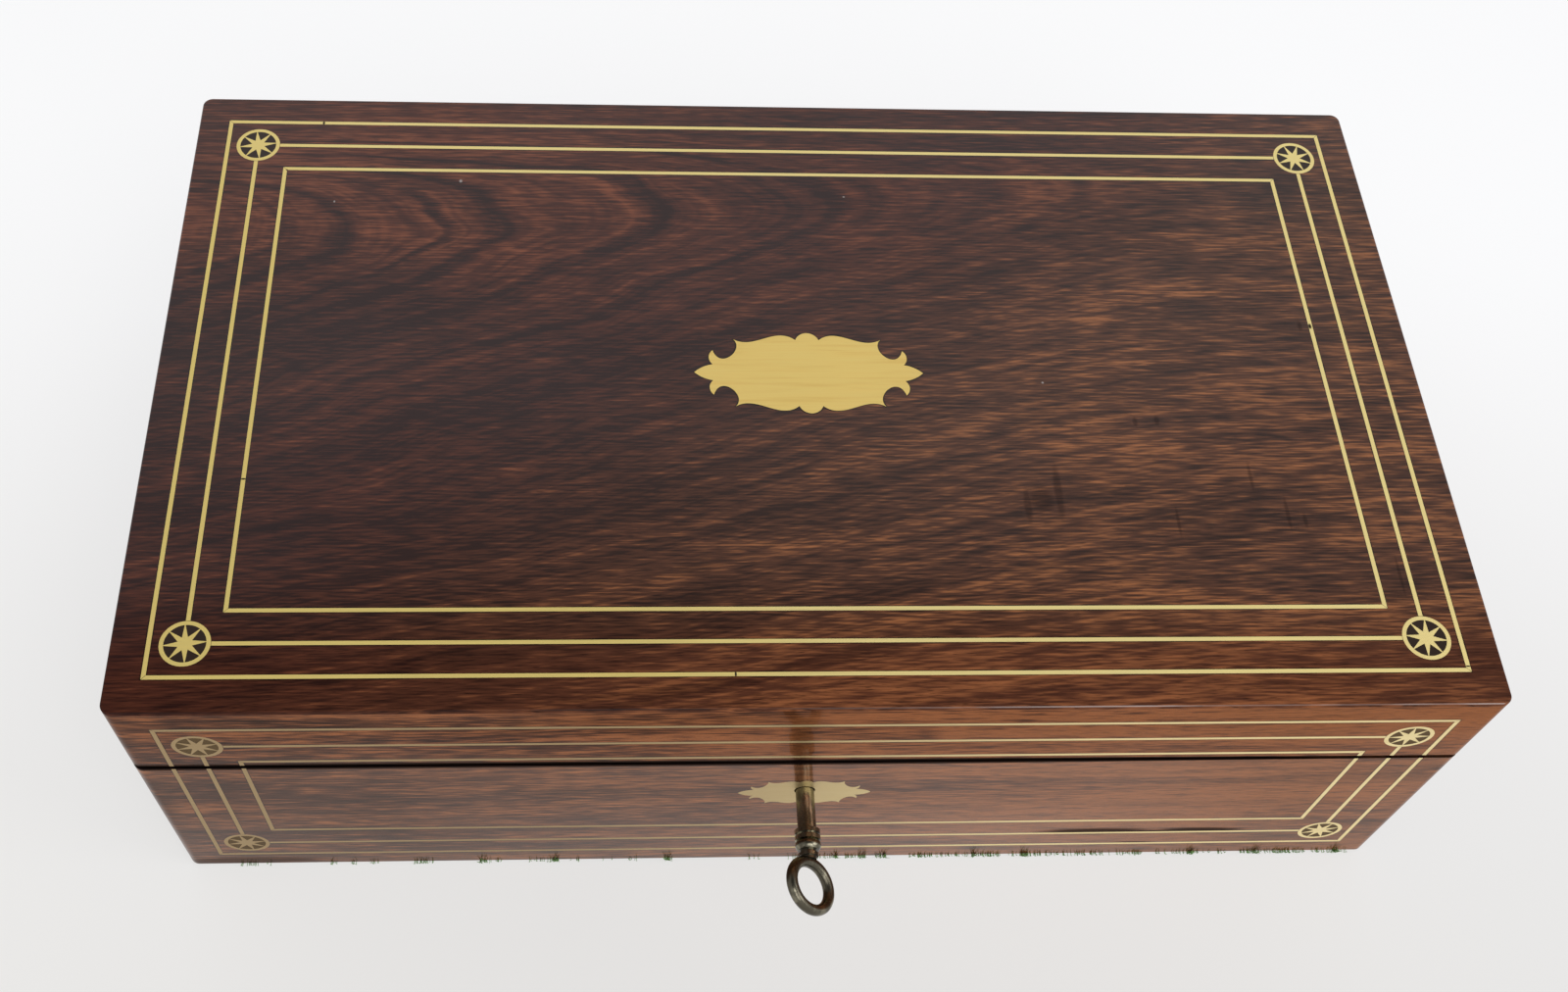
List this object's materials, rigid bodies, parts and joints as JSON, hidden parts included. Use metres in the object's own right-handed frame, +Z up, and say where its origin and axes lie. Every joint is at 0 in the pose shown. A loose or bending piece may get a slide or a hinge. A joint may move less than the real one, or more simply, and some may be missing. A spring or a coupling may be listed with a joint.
{
  "type": "writing slope",
  "caption": "Veneered wooden writing box with brass inlay that opens on back hinges into a long sloping writing surface, with hinged flaps over paper stores, pen tray, inkwells, lock and key.",
  "frame": {"origin": "centre of the underside, on the table", "axes": "+X along the front to the right, +Y from the lock side to the hinges, +Z up"},
  "size_m": [0.4, 0.2761, 0.1175],
  "materials": {
    "rosewood": "French polished rosewood",
    "mahogany": "waxed mahogany",
    "brass": "brushed, lightly tarnished",
    "green_baize": "woven and raised wool",
    "writing_leather": "grained skiver",
    "ink_glass": "clear moulded glass",
    "key_steel": "handled, bronzed",
    "lock_steel": "filed"
  },
  "bodies": {
    "base": {"base_back_board": "mahogany", "base_back_veneer": "rosewood", "base_bottom_board": "mahogany", "base_flap_bearers": "mahogany", "base_flap_pins": "brass", "base_flap_rail": "rosewood", "base_front_board": "mahogany", "base_front_roundels": "brass", "base_front_stringing": "brass", "base_front_veneer": "rosewood", "base_hinge_leaves": "brass", "base_rail_leaves": "brass", "base_screws": "brass", "base_side_boards": "mahogany", "base_side_veneers": "rosewood", "bottom_baize": "green_baize", "escutcheon": "brass", "hinge_pins": "brass", "inkwell_bottles": "ink_glass", "inkwell_caps": "brass", "inkwell_dividers": "mahogany", "lock_case": "lock_steel", "lock_pins": "lock_steel", "lock_plate": "brass", "lock_spring": "lock_steel", "pen_partition": "mahogany", "pen_tray": "mahogany"},
    "lid": {"lid_back_board": "mahogany", "lid_back_veneer": "rosewood", "lid_flap_bearers": "mahogany", "lid_flap_clips": "brass", "lid_flap_pins": "brass", "lid_flap_rail": "rosewood", "lid_front_board": "mahogany", "lid_front_roundels": "brass", "lid_front_stringing": "brass", "lid_front_veneer": "rosewood", "lid_hinge_leaves": "brass", "lid_rail_leaves": "brass", "lid_screws": "brass", "lid_side_boards": "mahogany", "lid_side_veneers": "rosewood", "lid_top_board": "mahogany", "lid_top_roundels": "brass", "lid_top_stringing": "brass", "lid_top_veneer": "rosewood", "cartouche": "brass", "link_plate": "brass"},
    "base_flap": {"base_flap_board": "rosewood", "base_flap_leather": "writing_leather", "base_flap_leaves": "brass", "base_flap_screws": "brass", "base_flap_tab": "writing_leather"},
    "lid_flap": {"lid_flap_board": "rosewood", "lid_flap_leather": "writing_leather", "lid_flap_leaves": "brass", "lid_flap_screws": "brass", "lid_flap_tab": "writing_leather"},
    "key": {"key": "key_steel"},
    "lock_bolt": {"lock_bolt": "lock_steel"}
  },
  "joints": [
    {"name": "lid_hinge", "type": "hinge", "parent": "base", "child": "lid", "pos_m": [0, 0.1171, 0.059], "axis": [-1, 0, 0], "range_deg": [0, 180]},
    {"name": "base_flap_hinge", "type": "hinge", "parent": "base", "child": "base_flap", "pos_m": [0, 0.0871, 0.05936], "axis": [-1, 0, 0], "range_deg": [0, 72]},
    {"name": "lid_flap_hinge", "type": "hinge", "parent": "lid", "child": "lid_flap", "pos_m": [0, 0.0871, 0.06416], "axis": [1, 0, 0], "range_deg": [0, 72]},
    {"name": "key_turn", "type": "hinge", "parent": "base", "child": "key", "pos_m": [0, -0.1165, 0.0585], "axis": [0, 1, 0], "range_deg": [0, 90]},
    {"name": "bolt_slide", "type": "slide", "parent": "base", "child": "lock_bolt", "axis": [1, 0, 0], "range_m": [0, 0.0075]}
  ],
  "couplings": [
    {"joint": "base_flap_hinge", "follows": "lid_hinge", "ratio": 0.4},
    {"joint": "lid_flap_hinge", "follows": "lid_hinge", "ratio": 0.4},
    {"joint": "bolt_slide", "follows": "key_turn", "m_per_rad": 0.0047746}
  ]
}
